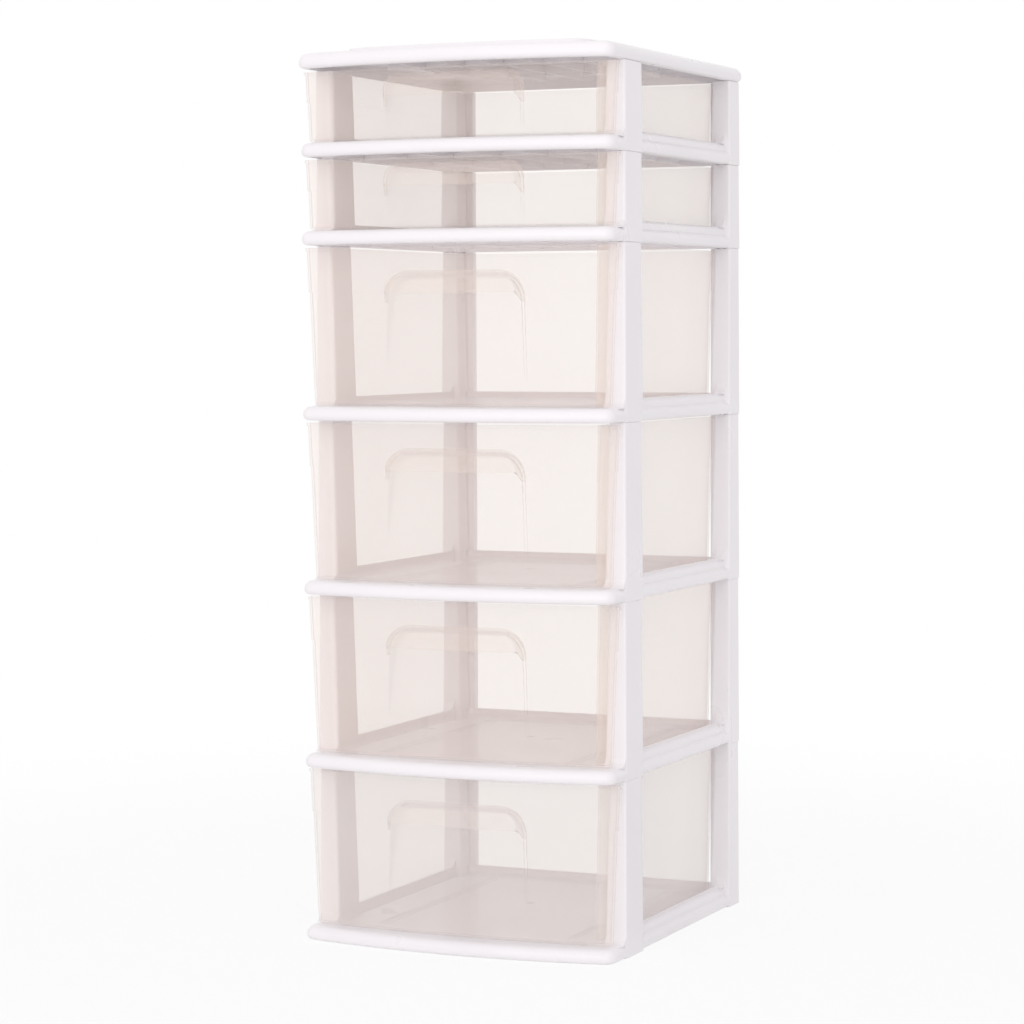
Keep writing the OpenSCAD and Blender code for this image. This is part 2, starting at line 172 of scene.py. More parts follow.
# Shared effect of a moulded surface: slow noise drifts the colour and the roughness, and with a share of
# fine noise it is the height of very shallow flow marks
def mouldedSurfaceGroup():
    group = bpy.data.node_groups.new("mouldedSurface", "ShaderNodeTree")
    for name, kind, value in [
        ("Vector", "NodeSocketVector", None), ("Colour", "NodeSocketColor", (1, 1, 1, 1)),
        ("Drift Colour", "NodeSocketColor", (1, 1, 1, 1)), ("Drift", "NodeSocketFloat", 0.3),
        ("Scale", "NodeSocketFloat", 9.0), ("Roughness", "NodeSocketFloat", 0.3),
        ("Roughness Drift", "NodeSocketFloat", 0.08),
    ]:
        socket = group.interface.new_socket(name, in_out="INPUT", socket_type=kind)
        if value is not None:
            socket.default_value = value
    for name, kind in [("Colour", "NodeSocketColor"), ("Roughness", "NodeSocketFloat"),
                       ("Height", "NodeSocketFloat"), ("Mask", "NodeSocketFloat")]:
        group.interface.new_socket(name, in_out="OUTPUT", socket_type=kind)
    inside = group.nodes.new("NodeGroupInput").outputs
    slow = addNode(group, "ShaderNodeTexNoise", {
        "Vector": inside["Vector"], "Scale": inside["Scale"],
        "Detail": moulding["slowDetail"]}).outputs["Fac"]
    fine = addNode(group, "ShaderNodeTexNoise", {
        "Vector": inside["Vector"], "Scale": moulding["fineScale"],
        "Detail": moulding["fineDetail"]}).outputs["Fac"]
    low, high = moulding["noiseSpan"]
    spread = addNode(group, "ShaderNodeMapRange", {
        "From Min": low, "From Max": high, "Value": slow}).outputs["Result"]
    amount = addNode(group, "ShaderNodeMath", {0: spread, 1: inside["Drift"]}, operation="MULTIPLY")
    colour = addNode(group, "ShaderNodeMix", {
        "Factor": amount.outputs["Value"], "A": inside["Colour"],
        "B": inside["Drift Colour"]}, data_type="RGBA")
    rough = addNode(group, "ShaderNodeMath", {
        0: spread, 1: inside["Roughness Drift"], 2: inside["Roughness"]}, operation="MULTIPLY_ADD")
    height = addNode(group, "ShaderNodeMath", {
        0: fine, 1: moulding["fineShare"], 2: slow}, operation="MULTIPLY_ADD")
    addNode(group, "NodeGroupOutput", {
        "Colour": colour.outputs["Result"], "Roughness": rough.outputs["Value"],
        "Height": height.outputs["Value"], "Mask": spread})
    return group


mouldedSurface = mouldedSurfaceGroup()


# A material with the moulded surface group wired to colour, roughness and bump
def mouldedMaterial(name, look):
    material = bpy.data.materials.new(name)
    material.use_nodes = True
    tree = material.node_tree
    shader = tree.nodes["Principled BSDF"]
    place = tree.nodes.new("ShaderNodeTexCoord")
    surface = addNode(tree, "ShaderNodeGroup", node_tree=mouldedSurface)
    for socket, value in {
        "Colour": (*look["colour"], 1), "Drift Colour": (*look["driftColour"], 1), "Drift": look["drift"],
        "Scale": look["scale"], "Roughness": look["roughness"], "Roughness Drift": look["roughnessDrift"],
    }.items():
        surface.inputs[socket].default_value = value
    tree.links.new(place.outputs["Object"], surface.inputs["Vector"])
    tree.links.new(surface.outputs["Colour"], shader.inputs["Base Color"])
    tree.links.new(surface.outputs["Roughness"], shader.inputs["Roughness"])
    bump = addNode(tree, "ShaderNodeBump", {
        "Strength": look["bump"], "Distance": look["bumpDistance"], "Height": surface.outputs["Height"]})
    tree.links.new(bump.outputs["Normal"], shader.inputs["Normal"])
    shader.inputs["IOR"].default_value = look["ior"]
    return material, shader, surface


whiteLook = {
    "colour": (0.955, 0.94, 0.948), "driftColour": (0.935, 0.915, 0.925), "drift": 0.5, "scale": 11.0,
    "roughness": 0.27, "roughnessDrift": 0.08, "bump": 0.2, "bumpDistance": 0.0002, "ior": 1.49,
}
whitePlastic = mouldedMaterial("whitePlastic", whiteLook)[0]


# One of the ray kinds counts: the shares add up and are cut off at 1
def rayShare(tree, names):
    path = tree.nodes.new("ShaderNodeLightPath")
    total = path.outputs[names[0]]
    for name in names[1:]:
        total = addNode(tree, "ShaderNodeMath", {0: total, 1: path.outputs[name]},
                        operation="ADD", use_clamp=True).outputs["Value"]
    return total


clearLook = {
    "colour": (0.94, 0.78, 0.66), "driftColour": (0.94, 0.80, 0.70), "drift": 0.8, "scale": 7.0,
    "roughness": 0.12, "roughnessDrift": 0.10, "bump": 0.15, "bumpDistance": 0.0002, "ior": 1.49,
    "seeThrough": 0.085,      # how much of a face seen straight on is solid
    "edgeOn": 0.5,            # and seen along its surface
    # the colour seen along the surface is a painted sheen: reflected white surroundings painted into the
    # colour
    "edgeBlend": 0.22, "paintedSheenColour": (0.95, 0.92, 0.925),
    "hazeDrift": 0.02,        # how much more of it is solid where the slow noise is high
    "lightStopped": 0.4,      # how much of that also holds back the light on its way to what is behind
}


# Clear plastic: the share that is solid rises from seeThrough, seen straight on, to edgeOn, seen along
# the surface, and its colour goes paler with it: a painted sheen, the white surroundings' reflection painted
# in
def clearMaterial(name, look):
    material, shader, surface = mouldedMaterial(name, look)
    tree = material.node_tree
    facing = addNode(tree, "ShaderNodeLayerWeight", {"Blend": look["edgeBlend"]}).outputs["Facing"]
    # Painted sheen: towards grazing angles the colour goes paler, standing for reflected white surroundings
    paintedSheen = addNode(tree, "ShaderNodeMix", {
        "Factor": facing, "A": surface.outputs["Colour"], "B": (*look["paintedSheenColour"], 1)}, data_type="RGBA")
    tree.links.new(paintedSheen.outputs["Result"], shader.inputs["Base Color"])
    solid = addNode(tree, "ShaderNodeMapRange", {
        "To Min": look["seeThrough"], "To Max": look["edgeOn"], "Value": facing})
    haze = addNode(tree, "ShaderNodeMath", {
        0: surface.outputs["Mask"], 1: look["hazeDrift"],
        2: solid.outputs["Result"]}, operation="MULTIPLY_ADD")
    held = addNode(tree, "ShaderNodeMapRange", {
        "To Min": 1.0, "To Max": look["lightStopped"],
        "Value": rayShare(tree, ["Is Shadow Ray", "Is Diffuse Ray"])})
    alpha = addNode(tree, "ShaderNodeMath", {
        0: haze.outputs["Value"], 1: held.outputs["Result"]}, operation="MULTIPLY")
    tree.links.new(alpha.outputs["Value"], shader.inputs["Alpha"])
    return material


clearPlastic = clearMaterial("clearPlastic", clearLook)
# A paler, more solid copy of the clear plastic for the bottom drawer: painted light, for the brighter look of
# the lowest tier
paintedBrighterPlastic = clearMaterial("clearPlasticPaintedBrighter", {
    **clearLook, "colour": (0.93, 0.83, 0.75), "driftColour": (0.92, 0.84, 0.78), "seeThrough": 0.13,
})
print("materials ready")

outline = {"bowSteps": 44, "cornerSteps": 10, "edgeSteps": 8}
shelf = {
    "lipHalf": 155.5, "lipFront": -175.5, "bowR": 680.0, "cornerR": 11.0,
    "lipH": 13.0, "topR": 8.0, "bottomR": 5.0, "skin": 2.4, "floorZ": 9.5,
    "hollowIn": 0.6, "hollowUp": 2.0,     # the lip's hollow, past its skin and its foot
    "railH": 20.5, "railT": 9.0, "railIn": 5.0, "railFlat": 2.0,
    "seamLow": 6.0, "seamHigh": 78.0,     # degrees on the rail's rounds
    "sideSet": 0.25, "railLap": 5.0, "backRailLap": 3.0,  # in from the legs' faces, and into the legs
    "runnerGap": 190.0, "runnerT": 3.0, "runnerEnd": 30.0, "runnerR": 1.2, "runnerEdgeR": 0.8,
    "ribT": 1.8, "ribs": (-96, -48, 0, 48, 96), "crossRibEnd": 75.0, "ribFoot": 2.0, "ribR": 0.3,
}
leg = {
    "width": 21.0, "frontD": 43.5, "rearD": 29.0, "taperW": 4.0, "taperD": 3.0, "step": 0.7,
    "cornerR": 2.5, "topR": 0.9, "bottomR": 0.5, "hollowR": 1.0,
    "flangeW": 6.5, "flangeLap": 6.0, "flangeD": 9.0, "flangeR": 1.2, "flangeEdgeR": 0.5,
    "footR": 8.0, "railSweepR": 11.0,
}


# Bow-fronted outline drawn in by s, from its left end to its right end: an arc of the bow's radius less s,
# an arc of the corner's radius less s at each end, and straight sides back to y = back
def bowOutline(half, front, bowR, cornerR, s, back, tail=None):
    s = np.atleast_1d(np.asarray(s, float))[:, None]
    centreY = front + bowR
    cx = half - cornerR
    cy = centreY - math.sqrt((bowR - cornerR) ** 2 - cx ** 2)
    turn = math.asin(cx / (bowR - cornerR))
    a = np.linspace(0, turn, outline["bowSteps"])
    b = np.linspace(turn - math.pi / 2, 0, outline["cornerSteps"])[1:]
    x = [(bowR - s) * np.sin(a), cx + (cornerR - s) * np.cos(b)]
    y = [centreY - (bowR - s) * np.cos(a), cy + (cornerR - s) * np.sin(b)]
    tailX, tailY = (half - s, back + 0 * s) if tail is None else tail
    x.append(tailX)
    y.append(tailY)
    x, y = np.hstack(x), np.hstack(y)
    return np.hstack([-x[:, :0:-1], x]), np.hstack([y[:, :0:-1], y])


# Insets and heights up a lip's rounded edge: a quarter circle of the bottom radius, then one of the top one
def edgeRows(height, topR, bottomR):
    a = np.linspace(-math.pi / 2, 0, outline["edgeSteps"])
    b = np.linspace(0, math.pi / 2, outline["edgeSteps"] + 2)[1:]
    s = np.concatenate([bottomR - bottomR * np.cos(a), topR - topR * np.cos(b)])
    z = np.concatenate([bottomR + bottomR * np.sin(a), height - topR + topR * np.sin(b)])
    return s, z


# The lip is hollow below: rows run from the hollow's roof down to its foot, round the edge, to the top,
# and the first and the last row are laid back to the legs' front
def lipPart(v):
    s, z = edgeRows(v["lipH"], v["topR"], v["bottomR"])
    back = tower["front"] + v["skin"]
    s = np.concatenate([[v["topR"], v["skin"] + v["hollowIn"], v["bottomR"] + v["skin"]], s])
    z = np.concatenate([[v["lipH"] - v["skin"], v["bottomR"] + v["hollowUp"], 0], z])
    x, y = bowOutline(v["lipHalf"], v["lipFront"], v["bowR"], v["cornerR"], s, back)
    points = pointsOf(x, y, z[:, None] + 0 * x)
    first, last = points[:1].copy(), points[-1:].copy()
    first[..., 1] = last[..., 1] = back
    points = np.concatenate([first, points, last])
    part, faces = gridPart(points)
    n = np.arange(len(part)).reshape(points.shape[:2])
    faces.append(np.concatenate([n[0], n[1:, -1], n[-1, -2::-1], n[-2:0:-1, 0]]).tolist())
    return part, faces


# Rail section with x = 0 on its outer face and open below: the lip's round, and a second round above it,
# set back; inside run the same rounds, one skin smaller
def railProfile(v):
    back, foot, top, t = -v["railIn"] - v["railT"], v["bottomR"], v["topR"], v["skin"]
    shoulder = v["railH"] - v["railT"] + v["railFlat"]
    ridge, ridgeR = back + v["railFlat"], v["railT"] - v["railFlat"]
    meetOut = math.degrees(math.acos((top - v["railIn"]) / top))
    meetIn = math.degrees(math.acos((top - v["railIn"] - t) / (top - t)))
    return np.concatenate([
        [[-foot - t, 0]], arcPoints(-foot, foot, foot, -90, 0, 8),
        arcPoints(-top, foot, top, v["seamLow"], meetOut, 9),
        arcPoints(ridge, shoulder, ridgeR, 0, 90, 12), [[back, v["railH"]], [back, 0], [back + t, 0]],
        [[back + t, v["railH"] - t]], arcPoints(ridge, shoulder, ridgeR - t, v["seamHigh"], 0, 8),
        arcPoints(-top, foot, top - t, meetIn, v["seamLow"], 6),
        arcPoints(-foot, foot, foot - t, 0, -90, 5), [[-foot - t, t]],
    ])


# A leg is a ring carried up: its outer edges lean in by the step and its inner ones by the tapers, times its
# height over a deep leg's. Its hollow is a second ring, clear of the leaning edges
def legPart(height, front):
    d = leg["frontD"] if front else leg["rearD"]
    y0 = tower["front"] if front else tower["rear"] - d
    inner = tower["legHalf"] - leg["width"]
    soft, up = quarterRound(4)
    foot, top = leg["bottomR"], leg["topR"]
    z = np.concatenate([foot - foot * up[::-1], [height / 2], height - top + top * up])
    trim = np.concatenate([foot * soft[::-1], [0], top * soft])
    t = z / height
    share = height / deep
    nearLean, farLean = (leg["step"], leg["taperD"]) if front else (leg["taperD"], leg["step"])
    x0, x1 = inner + leg["taperW"] * share * t, tower["legHalf"] - leg["step"] * t
    ya = y0 + nearLean * (1 if front else share) * t
    yb = y0 + d - farLean * (share if front else 1) * t
    skin = shelf["skin"]
    hx0, hx1 = inner + leg["taperW"] + skin, tower["legHalf"] - leg["step"] - skin
    hy0, hy1 = y0 + nearLean + skin, y0 + d - farLean - skin
    rows = np.concatenate([
        ringRows([hx0, hx0], [hx1, hx1], [hy0, hy0], [hy1, hy1], leg["hollowR"], [height - skin, 0]),
        ringRows(x0 + trim, x1 - trim, ya + trim, yb - trim, leg["cornerR"] - trim, z),
    ])
    return gridPart(rows, closeCols=True, capRows=True)


# A concave fillet in the corner at (y, z): a quarter circle of radius r from the upright down to the flat,
# with a little more behind and below it, so that it runs into both
def filletProfile(y, z, r, behind=1.0, below=0.6):
    curve = arcPoints(y - r, z + r, r, 0, -90, 12)
    return np.concatenate([curve, [[y - r, z - below], [y + behind, z - below], [y + behind, z + r]]])


# One frame: the lip, a rail on three sides, four legs with a flange by each rear one, fillets where the
# legs meet the lip and the rails, two runners, the shelf's floor, and ribs under it. Numbers of 1 mm and
# less that are added or taken make a part run into its neighbour
def frameParts(n):
    height = tierHeight[n]
    v, front, rear = shelf, tower["front"], tower["rear"]
    sideX = tower["legHalf"] - v["sideSet"]
    railInner = sideX - v["railIn"] - v["railT"]
    inner = tower["legHalf"] - leg["width"]
    floorHalf, underFloor = railInner + 1, v["floorZ"] - v["skin"]
    floorBack = rear - v["sideSet"] - v["railIn"] - v["railT"] + 1
    floorFront = front + 0.5
    rail = railProfile(v)
    runner, ribHalf, lap = v["runnerGap"] / 2, v["ribT"] / 2, inner + v["backRailLap"]
    parts = [lipPart(v)]
    parts += bothSides([
        runPart(rail + [sideX, 0], front + leg["frontD"] - v["railLap"],
                rear - leg["rearD"] + v["railLap"], "y"),
        legPart(height, True), legPart(height, False),
        slabPart(inner - leg["flangeW"], inner + leg["flangeLap"], rear - leg["flangeD"], rear - 0.8,
                 0, height - 0.5, leg["flangeR"], leg["flangeEdgeR"]),
        runPart(filletProfile(front + 0.2, v["lipH"], leg["footR"]), inner + 1, sideX - 0.5, "x"),
        runPart(filletProfile(rear - leg["rearD"] + 0.4, v["railH"] - 0.4, leg["railSweepR"]),
                railInner + 0.5, sideX - v["railIn"] - 0.5, "x"),
        slabPart(runner - v["runnerT"] / 2, runner + v["runnerT"] / 2, front + 1, rear - v["runnerEnd"],
                 underFloor + 1, v["lipH"] + 0.2, v["runnerR"], v["runnerEdgeR"]),
    ])
    parts.append(runPart(rail + [rear - v["sideSet"], 0], -lap, lap, "x"))
    parts.append(slabPart(-floorHalf, floorHalf, floorFront, floorBack, underFloor, v["floorZ"], 0.5, 0.2))
    parts += [slabPart(x - ribHalf, x + ribHalf, floorFront, floorBack, v["ribFoot"], underFloor + 1,
                       v["ribR"], v["ribR"]) for x in v["ribs"]]
    parts += [slabPart(-floorHalf, floorHalf, y - ribHalf, y + ribHalf, v["ribFoot"], underFloor + 1,
                       v["ribR"], v["ribR"]) for y in (front + v["crossRibEnd"], rear - v["crossRibEnd"])]
    return parts


for n in tierHeight:
    parts = [(p + [0, 0, tierBase[n]], f) for p, f in frameParts(n)]
    makePiece(f"frame{n}", parts, "tower", whitePlastic, f"frame_{n}")
print("frames built")

lid = {
    "half": 156.5, "front": -177.5, "bowR": 680.0, "cornerR": 11.0, "back": 177.5, "rearR": 5.0,
    "height": 14.0, "topR": 9.0, "bottomR": 5.0,
    "deckH": 5.0, "deckIn": 36.0, "deckFront": 34.0, "deckRear": 30.0,
    "deckCornerR": 18.0, "deckRearR": 18.0, "deckRound": 1.5,
    "rampOut": 2.0, "rampFoot": 1.2, "rampStep": 0.5,
    "sharpest": 0.3,  # the least radius of a rear corner
    "ribHalf": 0.9, "ribs": (-80, -40, 0, 40, 80), "ribFront": 10.0, "crossRibEnd": 90.0, "ribFoot": 6.0,
}


# Closed outline: the bow, its corners, and a rear corner whose radius is its own less the inset
def lidOutline(half, front, cornerR, rearR, s, back):
    s = np.atleast_1d(np.asarray(s, float))
    drawn = s[:, None]
    r = np.maximum(rearR - drawn, lid["sharpest"])
    a = np.linspace(0, math.pi / 2, 8)
    tail = (half - drawn - r + r * np.cos(a), back - drawn - r + r * np.sin(a))
    return bowOutline(half, front, lid["bowR"], cornerR, s, back, tail)


# The lid's rows run from the deck's underside out to the hollow's foot, round the rim's edge, in to the
# ramp, and up over the deck's rounded edge; ribs stand under the deck
def lidParts():
    v, skin = lid, shelf["skin"]
    base = tierBase[1] + tierHeight[1]
    rim = (v["half"], v["front"], v["cornerR"], v["rearR"])
    deck = (v["half"] - v["deckIn"], v["front"] + v["deckFront"], v["deckCornerR"], v["deckRearR"])
    deckZ, deckBack = v["height"] + v["deckH"], v["back"] - v["deckRear"]
    s, z = edgeRows(v["height"], v["topR"], v["bottomR"])
    inset, up = quarterRound(6)
    roundZ = deckZ - v["deckRound"]
    rows = []
    for form, back, insets, heights in [
        (deck, deckBack, [skin, skin], [deckZ - skin, v["height"] - skin]),
        (rim, v["back"], [v["topR"], skin + shelf["hollowIn"], v["bottomR"] + skin],
         [v["height"] - skin, v["bottomR"] + shelf["hollowUp"], 0]),
        (rim, v["back"], s, z),
        (deck, deckBack, [-v["rampOut"] - v["rampFoot"], -v["rampOut"], 0.0],
         [v["height"], v["height"] + v["rampStep"], roundZ]),
        (deck, deckBack, v["deckRound"] * inset[1:], roundZ + v["deckRound"] * up[1:]),
    ]:
        x, y = lidOutline(*form, insets, back)
        rows.append(pointsOf(x, y, np.asarray(heights, float)[:, None] + 0 * x))
    parts = [gridPart(np.concatenate(rows), closeCols=True, capRows=True)]
    half, ribFront = v["ribHalf"], deck[1] + v["ribFront"]
    under, ribR = (v["ribFoot"], deckZ - skin + 1), shelf["ribR"]
    parts += [slabPart(x - half, x + half, ribFront, deckBack - skin + 1, *under, ribR, ribR)
              for x in v["ribs"]]
    parts += [slabPart(-deck[0] + skin - 1, deck[0] - skin + 1, y - half, y + half, *under, ribR, ribR)
              for y in (ribFront + v["crossRibEnd"], deckBack - v["crossRibEnd"])]
    return [(p + [0, 0, base], f) for p, f in parts]


makePiece("topLid", lidParts(), "tower", whitePlastic, "top_lid")
print("lid built")

drawer = {
    "headHalf": 155.0, "bodyHalf": 133.5, "frontY": -158.0, "bowR": 1100.0, "cornerR": 6.0,
    "draft": 0.043, "frontShare": 0.35, "bodyShare": 0.45,  # the lean, and how much front and body have
    "wall": 1.8, "stackStep": 0.9, "ledgeHalf": 0.4, "gap": 2.4, "bottomZ": 13.5, "floorT": 2.0,
    "bottomR": 3.5, "insideR": 1.7, "rimOut": 1.2, "rimTurn": (3.0, 2.7, 2.3), "rimSoft": (0.15, 0.5),
    "bodyBack": 161.0, "bodyCornerR": 6.0,
    "shoulderBack": 4.0, "shoulderOuterR": 3.0, "shoulderInnerR": 4.0,
}
# Spans of distance from the middle, and the number of even steps in each: closer at the scoop's sides
frontColumns = [(0, 54, 13), (54, 74, 26), (74, 138, 11)]
scoop = {
    "halfW": 65.5, "flare": 7.0, "footUp": 2.0, "shoulderH": 8.0, "closeH": 5.0,
    "edge": 1.2, "edgeShare": 0.18, "rowsPast": 3.0, "rowStep": 2.5, "fineStep": 0.8,
}
scoopByKind = {
    "deep": {"z0": 33.0, "top": 28.0, "depth": 13.0, "cornerR": 24.0, "step": 43.0},
    "shallow": {"z0": 20.0, "top": 11.5, "depth": 10.0, "cornerR": 14.0, "step": 30.5},
}


# The scoop values of a drawer's kind
def kindOf(n):
    return scoopByKind["deep" if tierHeight[n] == deep else "shallow"]


# How far the walls have leaned in at height z: the draft times the depth below the rim, and the stacking step
# below the ledge
def leanAt(n, z):
    rim = tierHeight[n] - drawer["gap"]
    ledge = np.clip((tierHeight[n] - kindOf(n)["step"] - z) / (2 * drawer["ledgeHalf"]) + 0.5, 0, 1)
    return drawer["draft"] * (rim - z) + drawer["stackStep"] * ledge


# 0 to 1 along 3 t squared less 2 t cubed
def smoothStep(t):
    t = np.clip(t, 0, 1)
    return t * t * (3 - 2 * t)


# Depth of the finger scoop at (x, z), grown by the wall for the inner sheet: a ramp that deepens upwards,
# closed at the top, times a U-shaped mask whose sides flare and whose top corners are quarter circles
def scoopDepth(n, x, z, grow):
    k = kindOf(n)
    z1 = tierHeight[n] - k["top"] + grow
    z0 = k["z0"] + scoop["footUp"] - grow
    r = k["cornerR"]
    ramp = np.clip((z - z0) / (z1 - scoop["shoulderH"] - z0), 0, 1) * k["depth"]
    close = 1 - smoothStep((z - (z1 - scoop["closeH"])) / scoop["closeH"])
    over = np.clip(z - (z1 - r), 0, r)
    half = scoop["halfW"] + grow + scoop["flare"] * (z1 - z) / deep - r + np.sqrt(r * r - over * over)
    edge = scoop["edge"] + scoop["edgeShare"] * ramp
    return ramp * close * smoothStep((half - np.abs(x)) / edge)


# Outline of the tray at each row: bow, corner, shoulder back to the body, body side, rear corner, and the
# mirror image. g is how far the row has leaned in, s how far it is drawn in from the outer face
def trayRows(n, z, s):
    v = drawer
    z = np.asarray(z, float)[:, None]
    s = np.asarray(s, float)[:, None]
    g = leanAt(n, z)
    r = v["bowR"] - v["frontShare"] * g
    bowY = v["frontY"] + v["bowR"]
    hw = v["headHalf"] - g
    rc = v["cornerR"]
    cx = hw - rc
    cy = bowY - np.sqrt((r - rc) ** 2 - cx ** 2)
    turn = np.arcsin(cx / (r - rc))
    spots = np.concatenate([start + (end - start) * np.arange(steps) / steps
                            for start, end, steps in frontColumns] + [[frontColumns[-1][1]]])
    a = np.hstack([np.arcsin(spots / v["bowR"]) + 0 * g, turn])
    x = (r - s) * np.sin(a)  # where the scoop's mask is read
    d = scoopDepth(n, x, z, np.where(s > 1, v["wall"], 0.0))
    x, y = (r - s - d) * np.sin(a), bowY - (r - s - d) * np.cos(a)
    b = turn - math.pi / 2 + (math.pi / 2 - turn) * np.linspace(0, 1, 8)[1:]
    q = np.linspace(0, math.pi / 2, 6)
    w = np.linspace(-math.pi / 2, -math.pi, 6)
    e = np.linspace(0, math.pi / 2, 9)
    shoulder, ro, ri = cy + v["shoulderBack"], v["shoulderOuterR"], v["shoulderInnerR"]
    bw, back, rb = v["bodyHalf"] - v["bodyShare"] * g, v["bodyBack"] - v["bodyShare"] * g, v["bodyCornerR"]
    xs = np.hstack([x, cx + (rc - s) * np.cos(b), hw - ro + (ro - s) * np.cos(q),
                    bw + ri + (ri + s) * np.cos(w), bw - rb + (rb - s) * np.cos(e)])
    ys = np.hstack([y, cy + (rc - s) * np.sin(b), shoulder - ro + (ro - s) * np.sin(q),
                    shoulder + ri + (ri + s) * np.sin(w), back - rb + (rb - s) * np.sin(e)])
    xs, ys = np.hstack([-xs[:, :0:-1], xs]), np.hstack([ys[:, :0:-1], ys])
    return pointsOf(xs, ys, z + 0 * xs)


# Tray: rows go up the outside, over the turned rim, and down the inside, and the floor closes both ends
def trayPart(n):
    v, k = drawer, kindOf(n)
    top, ledge, bottom = tierHeight[n] - v["gap"], tierHeight[n] - k["step"], v["bottomZ"]
    z1 = tierHeight[n] - k["top"]
    inset, up = quarterRound(6)
    fineFrom = z1 - scoop["shoulderH"]
    sweep = np.concatenate([np.arange(k["z0"] - scoop["rowsPast"], fineFrom, scoop["rowStep"]),
                            np.arange(fineFrom, z1 + scoop["rowsPast"] + 0.1, scoop["fineStep"])])
    turn, (little, more) = np.array(v["rimTurn"]), v["rimSoft"]
    outer = np.concatenate([sweep, [ledge - v["ledgeHalf"], ledge + v["ledgeHalf"], top - turn[0] - 0.4]])
    outer = np.unique(outer[outer < top - turn[0]])
    bottomR, insideR, out, wall = v["bottomR"], v["insideR"], v["rimOut"], v["wall"]
    z = np.concatenate([
        bottom + bottomR - bottomR * up[::-1], outer, top - turn, [top - more, top - little, top],
        [top, top - little, top - more], outer[::-1], bottom + v["floorT"] + insideR - insideR * up,
    ])
    s = np.concatenate([
        bottomR * inset[::-1], 0 * outer, [0, -0.75 * out, -out], [-out, little - out, more - out],
        [wall - more, wall - little, wall], wall + 0 * outer, wall + insideR * inset,
    ])
    return gridPart(trayRows(n, z, s), closeCols=True, capRows=True)


hood = {
    "height": 17.0, "out": 10.5, "draft": 3.2, "wall": 1.8, "wider": 3.0, "higher": 1.0, "topShare": 0.8,
    "edgeR": 2.0, "frontSteps": 4, "cornerDraft": 0.4, "cornerLess": 0.6, "cornerRoom": 0.5,
    # Rows from inside the wall to the start of the front edge: how far out, and the share of the draft
    "rows": [(-0.8, -0.4), (0.3, -0.2 / 3), (2.0, 0.3), (5.0, 2 / 3), (8.5, 1.0)],
    # The sides' lower ends. At the wall: how far out, and the heights behind and there, from the scoop's top.
    # At the edge: how far behind it, and how high above the lower edge
    "endAtWall": (1.0, -25.5, -25.0), "endAtEdge": (1.5, 1.5),
}


# Arch at each row: straight up one side, a quarter circle, flat over the top, and down the other side
def archRows(half, top, ends, corner):
    half, top, ends, corner = [v[:, None] for v in (half, top, ends, corner)]
    u = np.linspace(0, 1, 7)[:-1]
    a = np.linspace(0, math.pi / 2, 14)
    w = np.linspace(1, 0, 16)[1:]
    x = np.hstack([half + 0 * u, half - corner + corner * np.cos(a), (half - corner) * w])
    z = np.hstack([ends + (top - corner - ends) * u, top - corner + corner * np.sin(a), top + 0 * w])
    return np.hstack([-x, x[:, -2::-1]]), np.hstack([z, z[:, -2::-1]])


# Hood over the scoop: an arch carried from the wall forwards, narrowing by its draft, round its front edge,
# down the front face to the straight lower edge, and back up inside, one wall thick
def hoodPart(n):
    k, v = kindOf(n), drawer
    z1 = tierHeight[n] - k["top"]
    t, low, edgeR = hood["wall"], z1 - hood["height"], hood["edgeR"]
    inset, up = quarterRound(6)
    p, share = np.array(hood["rows"]).T
    p = np.concatenate([p, hood["out"] - edgeR + edgeR * up[1:]])
    draw = np.concatenate([share * hood["draft"], hood["draft"] + edgeR * inset[1:]])
    (wallOut, endBehind, endThere), (edgeIn, edgeUp) = hood["endAtWall"], hood["endAtEdge"]
    ends = np.interp(p, [p[0], wallOut, hood["out"] - edgeIn, hood["out"]],
                     [z1 + endBehind, z1 + endThere, low + edgeUp, low])
    half = scoop["halfW"] + hood["wider"] - draw
    top = z1 + t + hood["higher"] - hood["topShare"] * draw
    corner = np.minimum(k["cornerR"] - hood["cornerDraft"] * draw, top - ends - hood["cornerRoom"])
    steps = hood["frontSteps"]
    drop = (np.arange(1, steps + 1) / steps)[:, None]
    rows = []
    for less, order in ((0.0, 1), (t, -1)):
        x, z = archRows(half - less, top - less, ends, corner - less * hood["cornerLess"])
        q = (p - less)[:, None] + 0 * x
        xf, zf = np.repeat(x[-1:], steps, 0), ends[-1] + (z[-1:] - ends[-1]) * (1 - drop)
        x, z, q = np.vstack([x, xf]), np.vstack([z, zf]), np.vstack([q, np.repeat(q[-1:], steps, 0)])
        r = v["bowR"] - v["frontShare"] * leanAt(n, z) + q
        points = pointsOf(x, v["frontY"] + v["bowR"] - np.sqrt(r * r - x * x), z)
        rows.append(points[::order])
    return gridPart(np.concatenate(rows), closeRows=True, capCols=True)


gate = {"radii": (4.0, 4.0, 3.6, 2.6), "heights": (0.0, 0.25, 0.42, 0.5), "forward": 10.0, "corners": 24}


# The round mark of the moulding gate, a low dome near the middle of the floor: rings of falling radius
def gatePart():
    a = np.linspace(0, 2 * math.pi, gate["corners"] + 1)[:-1]
    r = np.array(gate["radii"])[:, None]
    z = np.array(gate["heights"])[:, None] + drawer["bottomZ"] + drawer["floorT"]
    y = (tower["front"] + tower["rear"]) / 2 - gate["forward"]
    return gridPart(pointsOf(r * np.cos(a), y + r * np.sin(a), z), closeCols=True, capRows=True)


for n in tierHeight:
    parts = [(p + [0, 0, tierBase[n]], f) for p, f in (trayPart(n), hoodPart(n), gatePart())]
    # The bottom drawer takes the paler copy, whose colour is painted light
    look = paintedBrighterPlastic if n == max(tierHeight) else clearPlastic
    makePiece(f"drawer{n}", parts, f"drawer_{n}_body", look, f"drawer_{n}")
print("drawers built")

